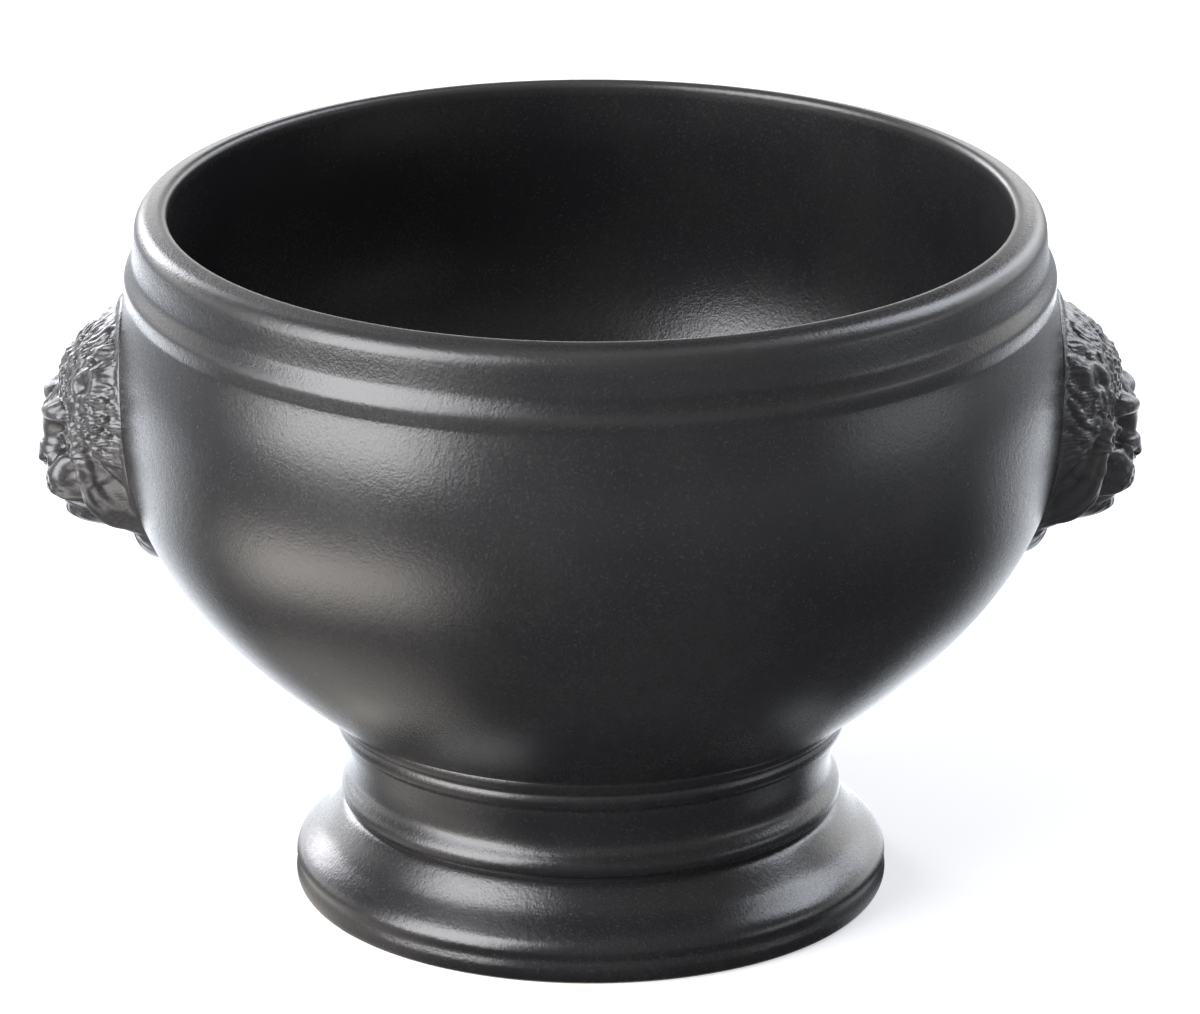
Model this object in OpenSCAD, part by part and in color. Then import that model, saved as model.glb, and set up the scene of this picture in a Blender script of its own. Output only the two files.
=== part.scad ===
// Footed soup crock with two lion heads: a deep round bowl luted onto a
// turned pedestal foot, and a lion head luted onto the belly at each side.
// The base stands on z = 0, the axis is Z, and a head looks out along +X and -X.

/* [Bowl] */
// Outside diameter of the rim
rim_d = 125.2; // [110:0.1:150]
// Height of the whole crock
crock_h = 98.5; // [90:0.1:120]
// Wall thickness at the rim
rim_wall = 4.6; // [3.5:0.1:6]
// Wall thickness at the widest part of the belly
belly_wall = 4.8; // [3.5:0.1:6.5]
// Thickness of the bowl's floor above the foot
floor_t = 5.8; // [4:0.1:9]
// Radius of the flat middle of the floor
floor_r = 14; // [6:0.5:20]
// Radius of the outer edge of the rim
rim_outer_edge_r = 0.8; // [0.3:0.1:1.4]
// Radius of the inner edge of the rim
rim_inner_edge_r = 1.5; // [0.6:0.1:2.2]
// Largest diameter of the belly
belly_d = 131.6; // [120:0.1:160]
// Depth of the widest part of the belly below the rim
belly_drop = 25.5; // [20:0.1:32]
// Diameter of the bowl where it meets the foot
seat_d = 76; // [66:0.1:84]
// Angle of the belly to the table where it meets the foot
seat_angle = 37.3; // [28:0.1:44]

/* [Collar] */
// Depth of the middle of the collar's bead below the rim
bead_drop = 9.3; // [8:0.1:12]
// Height of the bead
bead_h = 2.6; // [1.6:0.1:3.4]
// How far the bead stands out from the collar
bead_out = 0.9; // [0.4:0.1:1.6]
// How far the collar's foot stands out past the rim
collar_flare = 0.6; // [0:0.1:1.5]

/* [Foot] */
// Height of the pedestal foot, up to the bowl
foot_h = 27.6; // [24:0.1:34]
// Largest diameter of the foot
foot_d = 82.8; // [74:0.1:96]
// Height of the upright band round the base
band_h = 3.4; // [2.4:0.1:5]
// Radius of the edge that the foot stands on
base_edge_r = 0.6; // [0.3:0.1:1]
// Height of the domed part above the band
dome_h = 8.8; // [7:0.1:11]
// How far the dome's upper end stands out past the neck
dome_top_out = 1.05; // [0.4:0.05:3]
// Smallest diameter of the neck
neck_d = 66.9; // [60:0.1:68]
// How far the ring at the lower end of the neck stands out past it
neck_ring_out = 0.85; // [0.4:0.05:2]
// Height of the ring at the lower end of the neck
neck_ring_h = 3.2; // [2:0.1:4]
// How far the neck's upper ring stands out past it
upper_ring_out = 2.25; // [1.6:0.05:4]
// How far the top of the foot stands out past the neck
foot_top_out = 2.95; // [2.4:0.05:5]
// Height of each ring at the upper end of the neck
upper_ring_h = 2.3; // [1.6:0.1:3]
// Wall thickness of the foot at the neck
neck_wall = 5; // [3.5:0.1:7]
// Width of the ring that the foot stands on
base_ring_w = 5.2; // [3.5:0.1:8]
// Height inside the foot at which its hollow becomes straight
hollow_taper_h = 11; // [8:0.1:15]

/* [Slip joints] */
// Thickness of the layer of fired slip in each joint
slip_t = 0.4; // [0.2:0.05:0.6]
// Clearance between curved faces in a head's joint
seat_gap = 0.05; // [0.03:0.01:0.1]
// How far a head's slip stays inside the edge of the head
slip_inset = 1.2; // [0.8:0.1:2]

/* [Lion heads] */
// Height of a head on the wall of the bowl
head_h = 38.2; // [34:0.1:40]
// Width of a head
head_w = 29; // [24:0.1:32]
// Depth of the top of a head below the bead
head_top_gap = 1.4; // [0.4:0.1:3]
// Height of the widest part of a head above its lower end
cheek_h = 21; // [16:0.1:24]
// How far the head's lower end narrows, as a share of the width
jaw_taper = 0.34; // [0.1:0.01:0.5]
// Thickness of the edge of a head
head_edge = 1.3; // [0.8:0.1:2]
// How far the mane stands out past the belly
mane_out = 8.1; // [6:0.1:10]
// How far the tip of the nose stands out past the belly
nose_out = 10.7; // [8:0.1:13]
// Depth of the nose below the top of the head
nose_drop = 22.7; // [20:0.1:25]
// Depth of the brow below the top of the head
brow_drop = 15; // [13:0.1:17]
// Distance between the eyes, middle to middle
eye_gap = 10.4; // [8:0.1:12]
// Depth of the eye sockets
eye_depth = 1.7; // [0.8:0.1:2.4]
// Distance between the ears, middle to middle
ear_gap = 20; // [17:0.1:22]
// Depth of the chin below the top of the head
chin_drop = 29.9; // [28:0.1:31]
// Width of the muzzle
muzzle_w = 14; // [11:0.1:16]
// Width of the chin
chin_w = 9.6; // [8:0.1:12]
// Depth of the furrows in the mane
mane_furrow = 0.55; // [0.2:0.05:0.8]
// Number of locks round the mane
mane_locks = 18; // [12:1:20]

/* [Hidden] */
$fn = 96;

glaze_colour = [0.16, 0.16, 0.17];
foot_colour = [0.19, 0.19, 0.2];
head_colour = [0.24, 0.24, 0.25];
slip_colour = [0.62, 0.57, 0.5];

curve_steps = 22;
bead_steps = 8;
edge_steps = 4;
head_sectors = 96;
head_rings = 16;
back_rings = 8;
slip_sectors = 48;

rim_r = rim_d / 2;
belly_r = belly_d / 2;
belly_z = crock_h - belly_drop;
seat_r = seat_d / 2;
seat_z = foot_h + slip_t;
floor_z = seat_z + floor_t;
bead_z = crock_h - bead_drop;
collar_r = rim_r + collar_flare;
// The belly starts under the bead, a little outside the collar
shoulder_r = collar_r + bead_out * 0.8;
shoulder_z = bead_z - bead_h / 2 - 0.9;

// Points of an arc from angle a0 to angle a1, in the plane of an outline
function arc(centre, radius, a0, a1, steps) = [
    for (i = [0:steps])
    let (a = a0 + (a1 - a0) * i / steps)
    centre + radius * [cos(a), sin(a)]
];

// Points of a curve that leaves a towards b and reaches d from c
function curve(a, b, c, d, steps) = [
    for (i = [0:steps])
    let (t = i / steps, s = 1 - t)
    s * s * s * a + 3 * s * s * t * b + 3 * s * t * t * c + t * t * t * d
];

// A rounded bead on an upright face, from its upper end to its lower end
function bead(r_top, r_foot, z_mid, h, out, steps) = [
    for (i = [0:steps])
    let (a = 180 * i / steps, z = z_mid + h / 2 * cos(a), s = i / steps)
    [r_top + (r_foot - r_top) * s + out * sin(a), z]
];

// The same points without the first one, where a stretch joins the last
function after(points) = [for (i = [1:len(points) - 1]) points[i]];

rim_corner = [rim_r - rim_outer_edge_r, crock_h - rim_outer_edge_r];
belly_side = [belly_r, belly_z];
seat_edge = [seat_r, seat_z];
// Handles of the lower belly, as shares of its height and of its overhang
lower_belly_h = belly_z - seat_z;
lower_belly_pull = 0.353 * lower_belly_h;
seat_pull = 0.976 * (belly_r - seat_r);

bowl_outside = concat(
    arc(rim_corner, rim_outer_edge_r, 90, 0, edge_steps),
    bead(collar_r, collar_r + bead_out * 0.35, bead_z, bead_h, bead_out, bead_steps),
    curve(
        [shoulder_r, shoulder_z],
        [shoulder_r + 1, shoulder_z - 4.5],
        [belly_r, belly_z + 6.5],
        belly_side,
        edge_steps * 2
    ),
    after(curve(
        belly_side,
        belly_side - [0, lower_belly_pull],
        seat_edge + seat_pull * [cos(seat_angle), sin(seat_angle)],
        seat_edge,
        curve_steps
    ))
);

inner_rim_r = rim_r - rim_wall;
inner_belly_r = belly_r - belly_wall;
bowl_inside = concat(
    curve(
        [floor_r, floor_z],
        [floor_r + 0.55 * (inner_belly_r - floor_r), floor_z],
        [inner_belly_r, floor_z + 0.34 * (belly_z - floor_z)],
        [inner_belly_r, belly_z],
        curve_steps
    ),
    after(curve(
        [inner_belly_r, belly_z],
        [inner_belly_r, belly_z + 9],
        [inner_rim_r, crock_h - 12],
        [inner_rim_r, crock_h - rim_inner_edge_r],
        edge_steps * 2
    )),
    after(arc(
        [inner_rim_r + rim_inner_edge_r, crock_h - rim_inner_edge_r],
        rim_inner_edge_r,
        180,
        90,
        edge_steps
    ))
);

// Radius of the outside of the bowl at a height, below the bead
wall_table = [for (p = bowl_outside) [p[1], p[0]]];
function wall_r(z) = lookup(z, wall_table);

neck_r = neck_d / 2;
foot_r = foot_d / 2;
upper_ring_r = neck_r + upper_ring_out;
foot_top_r = neck_r + foot_top_out;
// How far the curve of a ring stands out past its two ends
ring_curl = 0.6;
// How far the crease between two rings lies inside the lower one
ring_crease = 0.45;
dome_top = [neck_r + dome_top_out, band_h + dome_h];
ring_z = dome_top[1] + 0.6 + neck_ring_h / 2;
ring_top = [neck_r + 0.1, ring_z + neck_ring_h / 2];
// The dome is a slight ogee that turns at its waist
dome_waist = [0.47 * dome_top[0] + 0.53 * foot_r, band_h + 0.52 * dome_h];
waist_slope = [-0.78, 0.63];
top_ring_z = foot_h - upper_ring_h / 2;
upper_ring_z = top_ring_z - upper_ring_h - ring_crease / 4;
upper_ring_foot = [neck_r + upper_ring_out * 0.6, upper_ring_z - upper_ring_h / 2];
band_crease = 0.25;

foot_outside = concat(
    bead(
        foot_top_r - ring_curl,
        upper_ring_r - ring_crease,
        top_ring_z,
        upper_ring_h,
        ring_curl,
        bead_steps
    ),
    bead(
        upper_ring_r - ring_crease,
        upper_ring_foot[0],
        upper_ring_z,
        upper_ring_h,
        ring_curl,
        bead_steps
    ),
    curve(
        upper_ring_foot - [0.1, 0.4],
        upper_ring_foot - [0.5, 2.2],
        [neck_r, ring_top[1] + 2.6],
        ring_top,
        bead_steps
    ),
    after(bead(
        ring_top[0],
        neck_r + neck_ring_out - ring_crease,
        ring_z,
        neck_ring_h,
        ring_curl,
        bead_steps
    )),
    [[dome_top[0], ring_z - neck_ring_h / 2 - 0.1]],
    curve(
        dome_top,
        dome_top + [1, -0.15 * dome_h],
        dome_waist + 0.22 * dome_h * waist_slope,
        dome_waist,
        bead_steps
    ),
    after(curve(
        dome_waist,
        dome_waist - 0.2 * dome_h * waist_slope,
        [foot_r, band_h + 0.24 * dome_h],
        [foot_r, band_h + 0.4],
        bead_steps
    )),
    [[foot_r - band_crease, band_h]],
    [[foot_r - band_crease / 2, band_h - 0.8]],
    arc(
        [foot_r - band_crease - base_edge_r, base_edge_r],
        base_edge_r,
        0,
        -90,
        edge_steps
    )
);

hollow_top_r = neck_r - neck_wall;
hollow_base_r = foot_r - band_crease - base_edge_r - base_ring_w;
foot_hollow = concat(
    [[hollow_base_r, 0]],
    curve(
        [hollow_base_r - 0.8, 1.4],
        [hollow_base_r - 1.6, 0.45 * hollow_taper_h],
        [hollow_top_r, 0.6 * hollow_taper_h],
        [hollow_top_r, hollow_taper_h],
        bead_steps
    ),
    [[hollow_top_r, foot_h]]
);

module bowl() {
    color(glaze_colour)
    rotate_extrude()
    polygon(concat(bowl_outside, [[0, seat_z]], [[0, floor_z]], bowl_inside));
}

module pedestal_foot() {
    color(foot_colour)
    rotate_extrude()
    polygon(concat(foot_outside, foot_hollow));
}

// The slip spreads over the top of the foot, from its hollow to its edge
module foot_joint_slip() {
    slip_edge_r = foot_top_r - ring_curl;
    color(slip_colour)
    translate([0, 0, foot_h])
    difference() {
        cylinder(h = slip_t, r1 = slip_edge_r, r2 = slip_edge_r + slip_t);
        translate([0, 0, -slip_t])
        cylinder(h = 3 * slip_t, r = hollow_top_r);
    }
}

head_top_z = shoulder_z - head_top_gap;
head_base_z = head_top_z - head_h;
head_mid_z = head_base_z + cheek_h;

// Edge of a head on the wall at an angle round its middle, as width and height
function head_edge_point(a, inset) =
    let (
        up = sin(a),
        tall = (up > 0 ? head_h - cheek_h : cheek_h) - inset,
        narrow = up > 0 ? 1 : 1 - jaw_taper * up * up
    )
    [(head_w / 2 - inset) * narrow * cos(a), head_mid_z + tall * up];

// Distance from the axis, along X, of a skin that wraps the bowl
function wrap_x(y, z, lift) = sqrt(pow(wall_r(z) + lift, 2) - y * y);

// How fast a mass falls away past its own edge
edge_fall = 7;
// Distance from the axis of a rounded mass of the head, or a low value off it
function mass(y, z, middle, size) =
    let (q = 1 - pow((y - middle[1]) / size[1], 2) - pow((z - middle[2]) / size[2], 2))
    middle[0] + (q > 0 ? size[0] * sqrt(q) : edge_fall * q);

blend_soft = 0.45;
function soft_max(list) =
    let (top = max(list))
    top + blend_soft * ln(sum_exp(list, top, len(list) - 1));
function sum_exp(list, top, i) =
    exp((list[i] - top) / blend_soft) + (i > 0 ? sum_exp(list, top, i - 1) : 0);

nose_z = head_top_z - nose_drop;
brow_z = head_top_z - brow_drop;
eye_z = (nose_z + 2 * brow_z) / 3 - 1.3;
chin_z = head_top_z - chin_drop;
nose_x = belly_r + nose_out;
mane_x = belly_r + mane_out;

// The masses of the head, each as its middle and its three half-sizes
mane_mass = [[belly_r - 6, 0, brow_z - 0.6], [6 + mane_out, head_w / 2, brow_drop - 0.2]];
nose_mass = [[nose_x - 5, 0, nose_z + 0.5], [5, 2.9, 2.4]];
bridge_mass = [[mane_x - 4.6, 0, (nose_z + brow_z) / 2 + 0.6], [6, 2.5, 6.6]];
chin_mass = [[belly_r + 0.8, 0, chin_z], [6, chin_w / 2, 3.9]];
neck_mass = [
    [belly_r - 8.6, 0, head_base_z + 7.4],
    [6.3, head_w / 2 * (1 - jaw_taper / 2), 10.5]
];
function muzzle_mass(side) = [
    [nose_x - 6, side * muzzle_w * 0.22, nose_z - 2.3],
    [5.8, muzzle_w * 0.27, 3.7]
];
function brow_mass(side) = [
    [mane_x - 3.4, side * eye_gap * 0.4, brow_z],
    [4.3, 3.4, 2.1]
];
function cheek_mass(side) = [
    [belly_r - 1, side * eye_gap * 0.86, nose_z - 0.6],
    [5.4, 2.6, 7.4]
];
function ear_mass(side) = [
    [belly_r + 1.4, side * ear_gap / 2, brow_z + 5.6],
    [4.2, 2.5, 3]
];
function pair(side) = [
    muzzle_mass(side),
    brow_mass(side),
    cheek_mass(side),
    ear_mass(side)
];

masses = concat(
    [mane_mass, nose_mass, bridge_mass, chin_mass, neck_mass],
    pair(-1),
    pair(1)
);

// A smooth hollow of depth 1 at a place in the head's front
function dent(y, z, middle_y, middle_z, half_w, half_h) =
    exp(-pow((abs(y) - middle_y) / half_w, 2) - pow((z - middle_z) / half_h, 2));

// What the eyes, the ears and the mouth take away from the masses
function carving(y, z) =
    eye_depth * dent(y, z, eye_gap / 2, eye_z, 2.3, 1.7)
    + 1.2 * dent(y, z, ear_gap / 2 - 0.6, brow_z + 5.4, 1.1, 1.6)
    + 1.1 * dent(y, z, 0, (nose_z + chin_z) / 2 - 2.2, 6, 0.8);

// Furrows run out from the face, and fade on the face and at the head's edge
function furrow(y, z, share) =
    let (
        a = atan2(z - head_mid_z, abs(y)),
        fade = max(0, min(1, (share - 0.55) / 0.2)) * max(0, min(1, (1 - share) / 0.1)),
        upper = max(0, min(1, (z - head_base_z) / cheek_h))
    )
    mane_furrow * fade * upper * cos(mane_locks * a);

// Distance from the axis of the carved front, at a share of the way to the edge
function front_x(y, z, share) =
    let (
        back = wrap_x(y, z, head_lift),
        whole = soft_max([for (m = masses) mass(y, z, m[0], m[1])]),
        carved = whole - carving(y, z) + furrow(y, z, share),
        rise = max(head_edge, carved - back),
        edge = sqrt(1 - pow(share, 12))
    )
    back + rise * edge;

head_lift = slip_t + 2 * seat_gap;

function ring_point(a, share, inset) =
    let (e = head_edge_point(a, inset))
    [e[0] * share, head_mid_z + (e[1] - head_mid_z) * share];

// Faces between two rings of points that start at first and second. Their
// diagonals mirror each other across the middle of the head.
function ring_faces(first, second, n) = [
    for (i = [0:n - 1], half = [0:1])
    let (
        j = (i + 1) % n,
        turned = cos(360 * (i + 0.5) / n) > 0,
        a = first + i,
        b = second + i,
        c = second + j,
        d = first + j
    )
    half == 0
        ? (turned ? [a, b, c] : [a, b, d])
        : (turned ? [a, c, d] : [b, c, d])
];
function fan_faces(hub, first, n) = [for (i = [0:n - 1]) [hub, first + i, first + (i + 1) % n]];
function flipped(faces) = [for (f = faces) [f[2], f[1], f[0]]];

// A closed patch on the wall: a front skin and a back skin that share an edge
module wall_patch(front, back, edge, n) {
    front_count = len(front);
    edge_start = front_count;
    back_start = edge_start + n;
    front_hub = back_start + len(back);
    back_hub = front_hub + 1;
    front_loops = front_count / n - 1;
    back_loops = len(back) / n - 1;
    points = concat(front, edge, back, [hub(front, n)], [hub(back, n)]);
    faces = concat(
        fan_faces(front_hub, 0, n),
        [for (k = [0:1:front_loops - 1]) each ring_faces(k * n, (k + 1) * n, n)],
        ring_faces(front_loops * n, edge_start, n),
        flipped(concat(
            fan_faces(back_hub, back_start, n),
            [for (k = [0:1:back_loops - 1])
                each ring_faces(back_start + k * n, back_start + (k + 1) * n, n)],
            ring_faces(back_start + back_loops * n, edge_start, n)
        ))
    );
    polyhedron(points = points, faces = flipped(faces), convexity = 6);
}

// The middle point of the innermost ring
function hub(points, n) =
    let (ring = [for (i = [0:n - 1]) points[i]])
    [max([for (p = ring) p[0]]), 0, head_mid_z];

function head_front() = [
    for (k = [1:head_rings - 1], i = [0:head_sectors - 1])
    let (
        share = k / head_rings,
        p = ring_point(360 * i / head_sectors, share, 0)
    )
    [front_x(p[0], p[1], share), p[0], p[1]]
];
function skin(rings, sectors, lift, inset) = [
    for (k = [1:rings - 1], i = [0:sectors - 1])
    let (p = ring_point(360 * i / sectors, k / rings, inset))
    [wrap_x(p[0], p[1], lift), p[0], p[1]]
];
function skin_edge(sectors, lift, inset) = [
    for (i = [0:sectors - 1])
    let (p = ring_point(360 * i / sectors, 1, inset))
    [wrap_x(p[0], p[1], lift), p[0], p[1]]
];

module lion_head() {
    color(head_colour)
    wall_patch(
        head_front(),
        skin(back_rings, head_sectors, head_lift, 0),
        skin_edge(head_sectors, head_lift, 0),
        head_sectors
    );
}

module head_joint_slip() {
    color(slip_colour)
    wall_patch(
        skin(back_rings, slip_sectors, seat_gap + slip_t, slip_inset),
        skin(back_rings, slip_sectors, seat_gap, slip_inset),
        skin_edge(slip_sectors, seat_gap + slip_t / 2, slip_inset),
        slip_sectors
    );
}

module right_lion_head() {
    lion_head();
}

module left_lion_head() {
    rotate([0, 0, 180])
    lion_head();
}

module right_head_joint_slip() {
    head_joint_slip();
}

module left_head_joint_slip() {
    rotate([0, 0, 180])
    head_joint_slip();
}

bowl();
pedestal_foot();
foot_joint_slip();
right_lion_head();
left_lion_head();
right_head_joint_slip();
left_head_joint_slip();
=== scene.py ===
# %% [markdown]
# # A black soup crock with two lion heads
# This lesson dresses a finished CAD part. The part's own solids stay behind
# the scenes, and a detailed piece stands in for each one that shows.

# %% Load the part
import math

import bmesh
import bpy
import numpy as np
from mathutils import Matrix, Vector


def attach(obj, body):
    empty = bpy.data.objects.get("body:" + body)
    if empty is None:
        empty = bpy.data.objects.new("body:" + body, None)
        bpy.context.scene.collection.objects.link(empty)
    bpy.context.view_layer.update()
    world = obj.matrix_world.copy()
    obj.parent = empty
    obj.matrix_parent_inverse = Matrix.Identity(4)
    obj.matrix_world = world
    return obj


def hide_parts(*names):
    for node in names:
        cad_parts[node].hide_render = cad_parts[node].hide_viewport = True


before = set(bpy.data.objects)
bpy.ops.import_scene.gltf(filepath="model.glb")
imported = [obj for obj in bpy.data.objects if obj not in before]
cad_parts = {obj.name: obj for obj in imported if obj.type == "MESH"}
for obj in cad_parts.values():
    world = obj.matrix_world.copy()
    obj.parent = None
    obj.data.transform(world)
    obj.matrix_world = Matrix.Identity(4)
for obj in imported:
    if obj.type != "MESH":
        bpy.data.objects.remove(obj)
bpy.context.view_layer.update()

print("nodes:", sorted(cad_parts))

# %% [markdown]
# ## Lines that a potter would draw
# A thrown pot is a line turned round an axis, so most of the shape is in that
# line. Three helpers draw all of it: an arc for an edge that a wet sponge
# rounded, a smooth curve with two handles for a wall, and a bead for a ring
# that was pressed up with a rib. They work in millimetres as (radius, height).

# %% Line helpers
MM = 0.001


def point(radius, height):
    return np.array([radius, height], dtype=float)


def arc(centre, radius, start, end, steps):
    angles = np.radians(np.linspace(start, end, steps + 1))
    return [centre + radius * point(math.cos(a), math.sin(a)) for a in angles]


def curve(a, b, c, d, steps):
    line = []
    for t in np.linspace(0, 1, steps + 1):
        s = 1 - t
        line.append(s**3 * a + 3 * s * s * t * b + 3 * s * t * t * c + t**3 * d)
    return line


def bead(r_top, r_foot, middle, height, out, steps):
    line = []
    for s in np.linspace(0, 1, steps + 1):
        turn = math.pi * s
        radius = r_top + (r_foot - r_top) * s + out * math.sin(turn)
        line.append(point(radius, middle + height / 2 * math.cos(turn)))
    return line


# %% [markdown]
# Glaze is a coat of glass a third of a millimetre thick. It fills each corner
# and rounds each edge, so no line on a glazed pot is quite sharp. This helper
# walks along a line in small even steps, averages each place with its
# neighbours, and keeps only as many points as the bends need.

# %% Glazed line
fine_step = 0.06


def glazed(line, softness, longest=1.25, sharpest=4.0):
    corners = np.array(line)
    run = np.concatenate([[0], np.cumsum(np.hypot(*np.diff(corners, axis=0).T))])
    even = np.linspace(0, run[-1], int(run[-1] / fine_step) + 1)
    path = np.stack([np.interp(even, run, corners[:, i]) for i in (0, 1)], axis=1)
    reach = int(3 * softness / fine_step)
    weights = np.exp(-0.5 * (np.arange(-reach, reach + 1) * fine_step / softness) ** 2)
    weights /= weights.sum()
    before = 2 * path[0] - path[reach:0:-1]
    after = 2 * path[-1] - path[-2:-reach - 2:-1]
    padded = np.concatenate([before, path, after])
    soft = np.stack([np.convolve(padded[:, i], weights, "valid") for i in (0, 1)], axis=1)
    kept, last, turned = [soft[0]], 0, 0.0
    heading = np.unwrap(np.arctan2(*np.diff(soft, axis=0).T[::-1]))
    for i in range(1, len(soft) - 1):
        turned += abs(heading[i] - heading[i - 1])
        if turned > math.radians(sharpest) or even[i] - even[last] > longest:
            kept.append(soft[i])
            last, turned = i, 0.0
    return kept + [soft[-1]]


# %% [markdown]
# ## Turning a line into clay
# Blender's spin does what the wheel does. The line is a few vertices joined by
# edges, and spin sweeps them right round the Z axis; `use_merge` closes the
# last step onto the first. Points on the axis come out many times over, so
# they are merged, and only then are the normals made to point outwards.
# Faces are shaded smooth, except across a real crease.

# %% The wheel
CREASE = math.radians(38)


def on_the_wheel(name, line, turns, closed=False):
    bm = bmesh.new()
    verts = [bm.verts.new((r * MM, 0, z * MM)) for r, z in line]
    edges = [bm.edges.new(pair) for pair in zip(verts, verts[1:])]
    if closed:
        edges.append(bm.edges.new((verts[-1], verts[0])))
    bmesh.ops.spin(bm, geom=verts + edges, cent=(0, 0, 0), axis=(0, 0, 1),
                   dvec=(0, 0, 0), angle=math.tau, steps=turns, use_merge=True)
    bmesh.ops.remove_doubles(bm, verts=bm.verts, dist=0.002 * MM)
    bmesh.ops.recalc_face_normals(bm, faces=bm.faces)
    return finished(name, bm)


def finished(name, bm):
    mesh = bpy.data.meshes.new(name)
    bm.to_mesh(mesh)
    bm.free()
    mesh.shade_smooth()
    mesh.set_sharp_from_angle(angle=CREASE)
    piece = bpy.data.objects.new(name, mesh)
    bpy.context.collection.objects.link(piece)
    triangles = sum(len(p.vertices) - 2 for p in mesh.polygons)
    print(name, "triangles:", triangles)
    return piece


# %% [markdown]
# ## The bowl
# The bowl is deep and round, with a plain collar, a bead under it and a belly
# that tucks in to the foot. Its line starts in the middle underneath, runs up
# the outside, over the rim and down to the middle of the floor inside. The
# sizes are the part's own, so that the pieces meet where the part says.

# %% Bowl line
rim_r = 62.6
crock_h = 98.5
belly_r = 65.8
belly_z = 73.0
seat = point(38.0, 28.0)
seat_angle = math.radians(37.3)
seat_lean = point(math.cos(seat_angle), math.sin(seat_angle))
low_pull = 0.353
tuck_pull = 0.976
belly_side = point(belly_r, belly_z)
belly_low = belly_side - point(0, low_pull * (belly_z - seat[1]))
belly_tuck = seat + tuck_pull * (belly_r - seat[0]) * seat_lean
bead_z = 89.2
bead_out = 1.2
collar_r = 62.85
shoulder = point(63.92, 87.0)

outside = [point(0, seat[1])]
outside += curve(seat, belly_tuck, belly_low, belly_side, 90)
outside += curve(belly_side, belly_side + point(0, 6.5),
                 shoulder + point(1, -4.5), shoulder, 26)[1:]
bead_top = point(collar_r + bead_out, bead_z - 0.2)
outside += curve(shoulder, shoulder + point(0.1, 0.9), bead_top - point(0, 0.9), bead_top, 8)[1:]
outside += curve(bead_top, bead_top + point(0, 0.9), point(collar_r, bead_z + 1.8),
                 point(collar_r, bead_z + 3.0), 14)[1:]
rim_slope = 0.35
outer_round = 2.7
rim_out = point(rim_r - outer_round, crock_h - rim_slope - outer_round)
outside += arc(rim_out, outer_round, 0, 80, 18)

# %% [markdown]
# Inside, the wall is about 5 mm thick at the rim and the belly, and thicker low
# down, where it carries the pot. A generous round runs into the floor, so that
# a spoon reaches everywhere.

# %% Bowl line, inside
floor_z = 33.8
floor_r = 14.0
wall_pull = 0.55
floor_pull = 0.62
inside_r = 61.0
inside_rim_r = 58.0
inner_round = 0.95
rim_in = point(inside_rim_r + inner_round, crock_h - inner_round)
inside = arc(rim_in, inner_round, 86, 180, 10)
inside += curve(rim_in - point(inner_round, 0), point(inside_rim_r, crock_h - 12),
                point(inside_r, belly_z + 9), point(inside_r, belly_z), 24)[1:]
inside += curve(point(inside_r, belly_z),
                point(inside_r, floor_z + wall_pull * (belly_z - floor_z)),
                point(floor_r + floor_pull * (inside_r - floor_r), floor_z),
                point(floor_r, floor_z), 60)[1:]
inside.append(point(0, floor_z))
rim_top = curve(outside[-1], outside[-1] + point(-0.4, 0.1), inside[0] + point(0.4, -0.04),
                inside[0], 12)[1:-1]
bowl_line = glazed(outside + rim_top + inside, 0.22)
bowl = on_the_wheel("crock_bowl", bowl_line, 288)

# %% [markdown]
# ## The pedestal foot
# The foot is turned apart and luted on: an upright band at the table, a dome,
# a ring, a waisted neck and two rings under the bowl. It is hollow from below,
# as every thrown foot is, so that its wall dries and fires evenly.

# %% Foot line
foot_r = 41.4
foot_h = 27.6
neck_r = 33.45
band_h = 3.4
dome_h = 8.8
edge_in = 0.85
stand_w = 5.2
upper_out = 2.25
upper_r = neck_r + upper_out
top_r = neck_r + 2.95
curl = 0.6
groove_in = 0.45
ring_h = 2.3
top_ring_z = foot_h - ring_h / 2
upper_z = top_ring_z - ring_h - groove_in / 4
upper_foot = point(neck_r + upper_out * 0.6, upper_z - ring_h / 2)
dome_top = point(neck_r + 1.05, band_h + dome_h)
low_ring = point(neck_r + 1.5, dome_top[1] + 1.9)
neck_foot = point(neck_r + 0.05, low_ring[1] + 3.3)
waist = point(0.47 * dome_top[0] + 0.53 * foot_r, band_h + 0.52 * dome_h)
waist_slope = point(-0.78, 0.63)

foot_line = bead(top_r - curl, upper_r - groove_in, top_ring_z, ring_h, curl, 16)
foot_line += bead(upper_r - groove_in, upper_foot[0], upper_z, ring_h, curl, 16)
foot_line += curve(upper_foot - point(0.1, 0.4), upper_foot - point(0.5, 2.2),
                   point(neck_r, neck_foot[1] + 2.4), neck_foot, 20)
foot_line += curve(neck_foot, neck_foot - point(0, 1.9), low_ring + point(0.02, 1.6), low_ring, 14)[1:]
foot_line += curve(low_ring, low_ring - point(-0.02, 1.1), point(neck_r + 1.1, dome_top[1] + 0.45),
                   point(neck_r + 0.1, dome_top[1] + 0.35), 10)[1:]
foot_line += curve(dome_top, dome_top + point(1.1, -0.10 * dome_h),
                   waist + 0.22 * dome_h * waist_slope, waist, 18)
foot_line += curve(waist, waist - 0.34 * dome_h * waist_slope,
                   point(foot_r - 0.1, band_h + 0.24 * dome_h),
                   point(foot_r - 0.1, band_h + 0.4), 18)[1:]
foot_line += [point(foot_r - 0.40, band_h + 0.1), point(foot_r - 0.30, band_h - 0.5)]
foot_line += curve(point(foot_r - 0.05, band_h - 1.3), point(foot_r, 1.2), point(foot_r - 0.25, 0.3),
                   point(foot_r - edge_in, 0), 10)

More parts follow.
